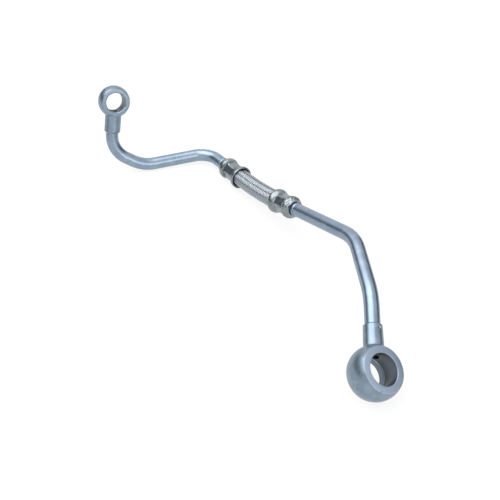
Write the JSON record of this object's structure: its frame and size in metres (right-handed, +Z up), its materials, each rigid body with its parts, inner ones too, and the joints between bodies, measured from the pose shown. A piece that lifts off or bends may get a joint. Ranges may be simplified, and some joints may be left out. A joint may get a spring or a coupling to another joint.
{
  "type": "turbo oil feed line",
  "caption": "Turbo oil feed line: bent plated steel pipes with a banjo eye at each end, joined by a short wire-braided hose held in crimped ferrules.",
  "frame": {"origin": "middle of the line's outline on the surface it lies on", "axes": "+Z up from the surface it lies on; +Y towards the small banjo eye, -Y towards the big one; +X to the right of the picture"},
  "size_m": [0.187, 0.2154, 0.0561],
  "materials": {
    "small_pipe_steel": "satin zinc plate",
    "big_pipe_steel": "satin zinc plate",
    "small_eye_steel": "satin zinc plate on a turned eye",
    "big_eye_steel": "satin zinc plate on a turned eye",
    "ferrule_steel": "glossier nickel-like plate, warm grey",
    "braid_wire": "bright drawn wire",
    "liner_plastic": "smooth translucent white"
  },
  "bodies": {
    "root": {"small_banjo_eye": "small_eye_steel", "small_side_pipe": "small_pipe_steel", "small_side_ferrule": "ferrule_steel", "hose_braid": "braid_wire", "hose_liner": "liner_plastic", "big_side_ferrule": "ferrule_steel", "big_side_pipe": "big_pipe_steel", "big_banjo_eye": "big_eye_steel"}
  },
  "joints": []
}
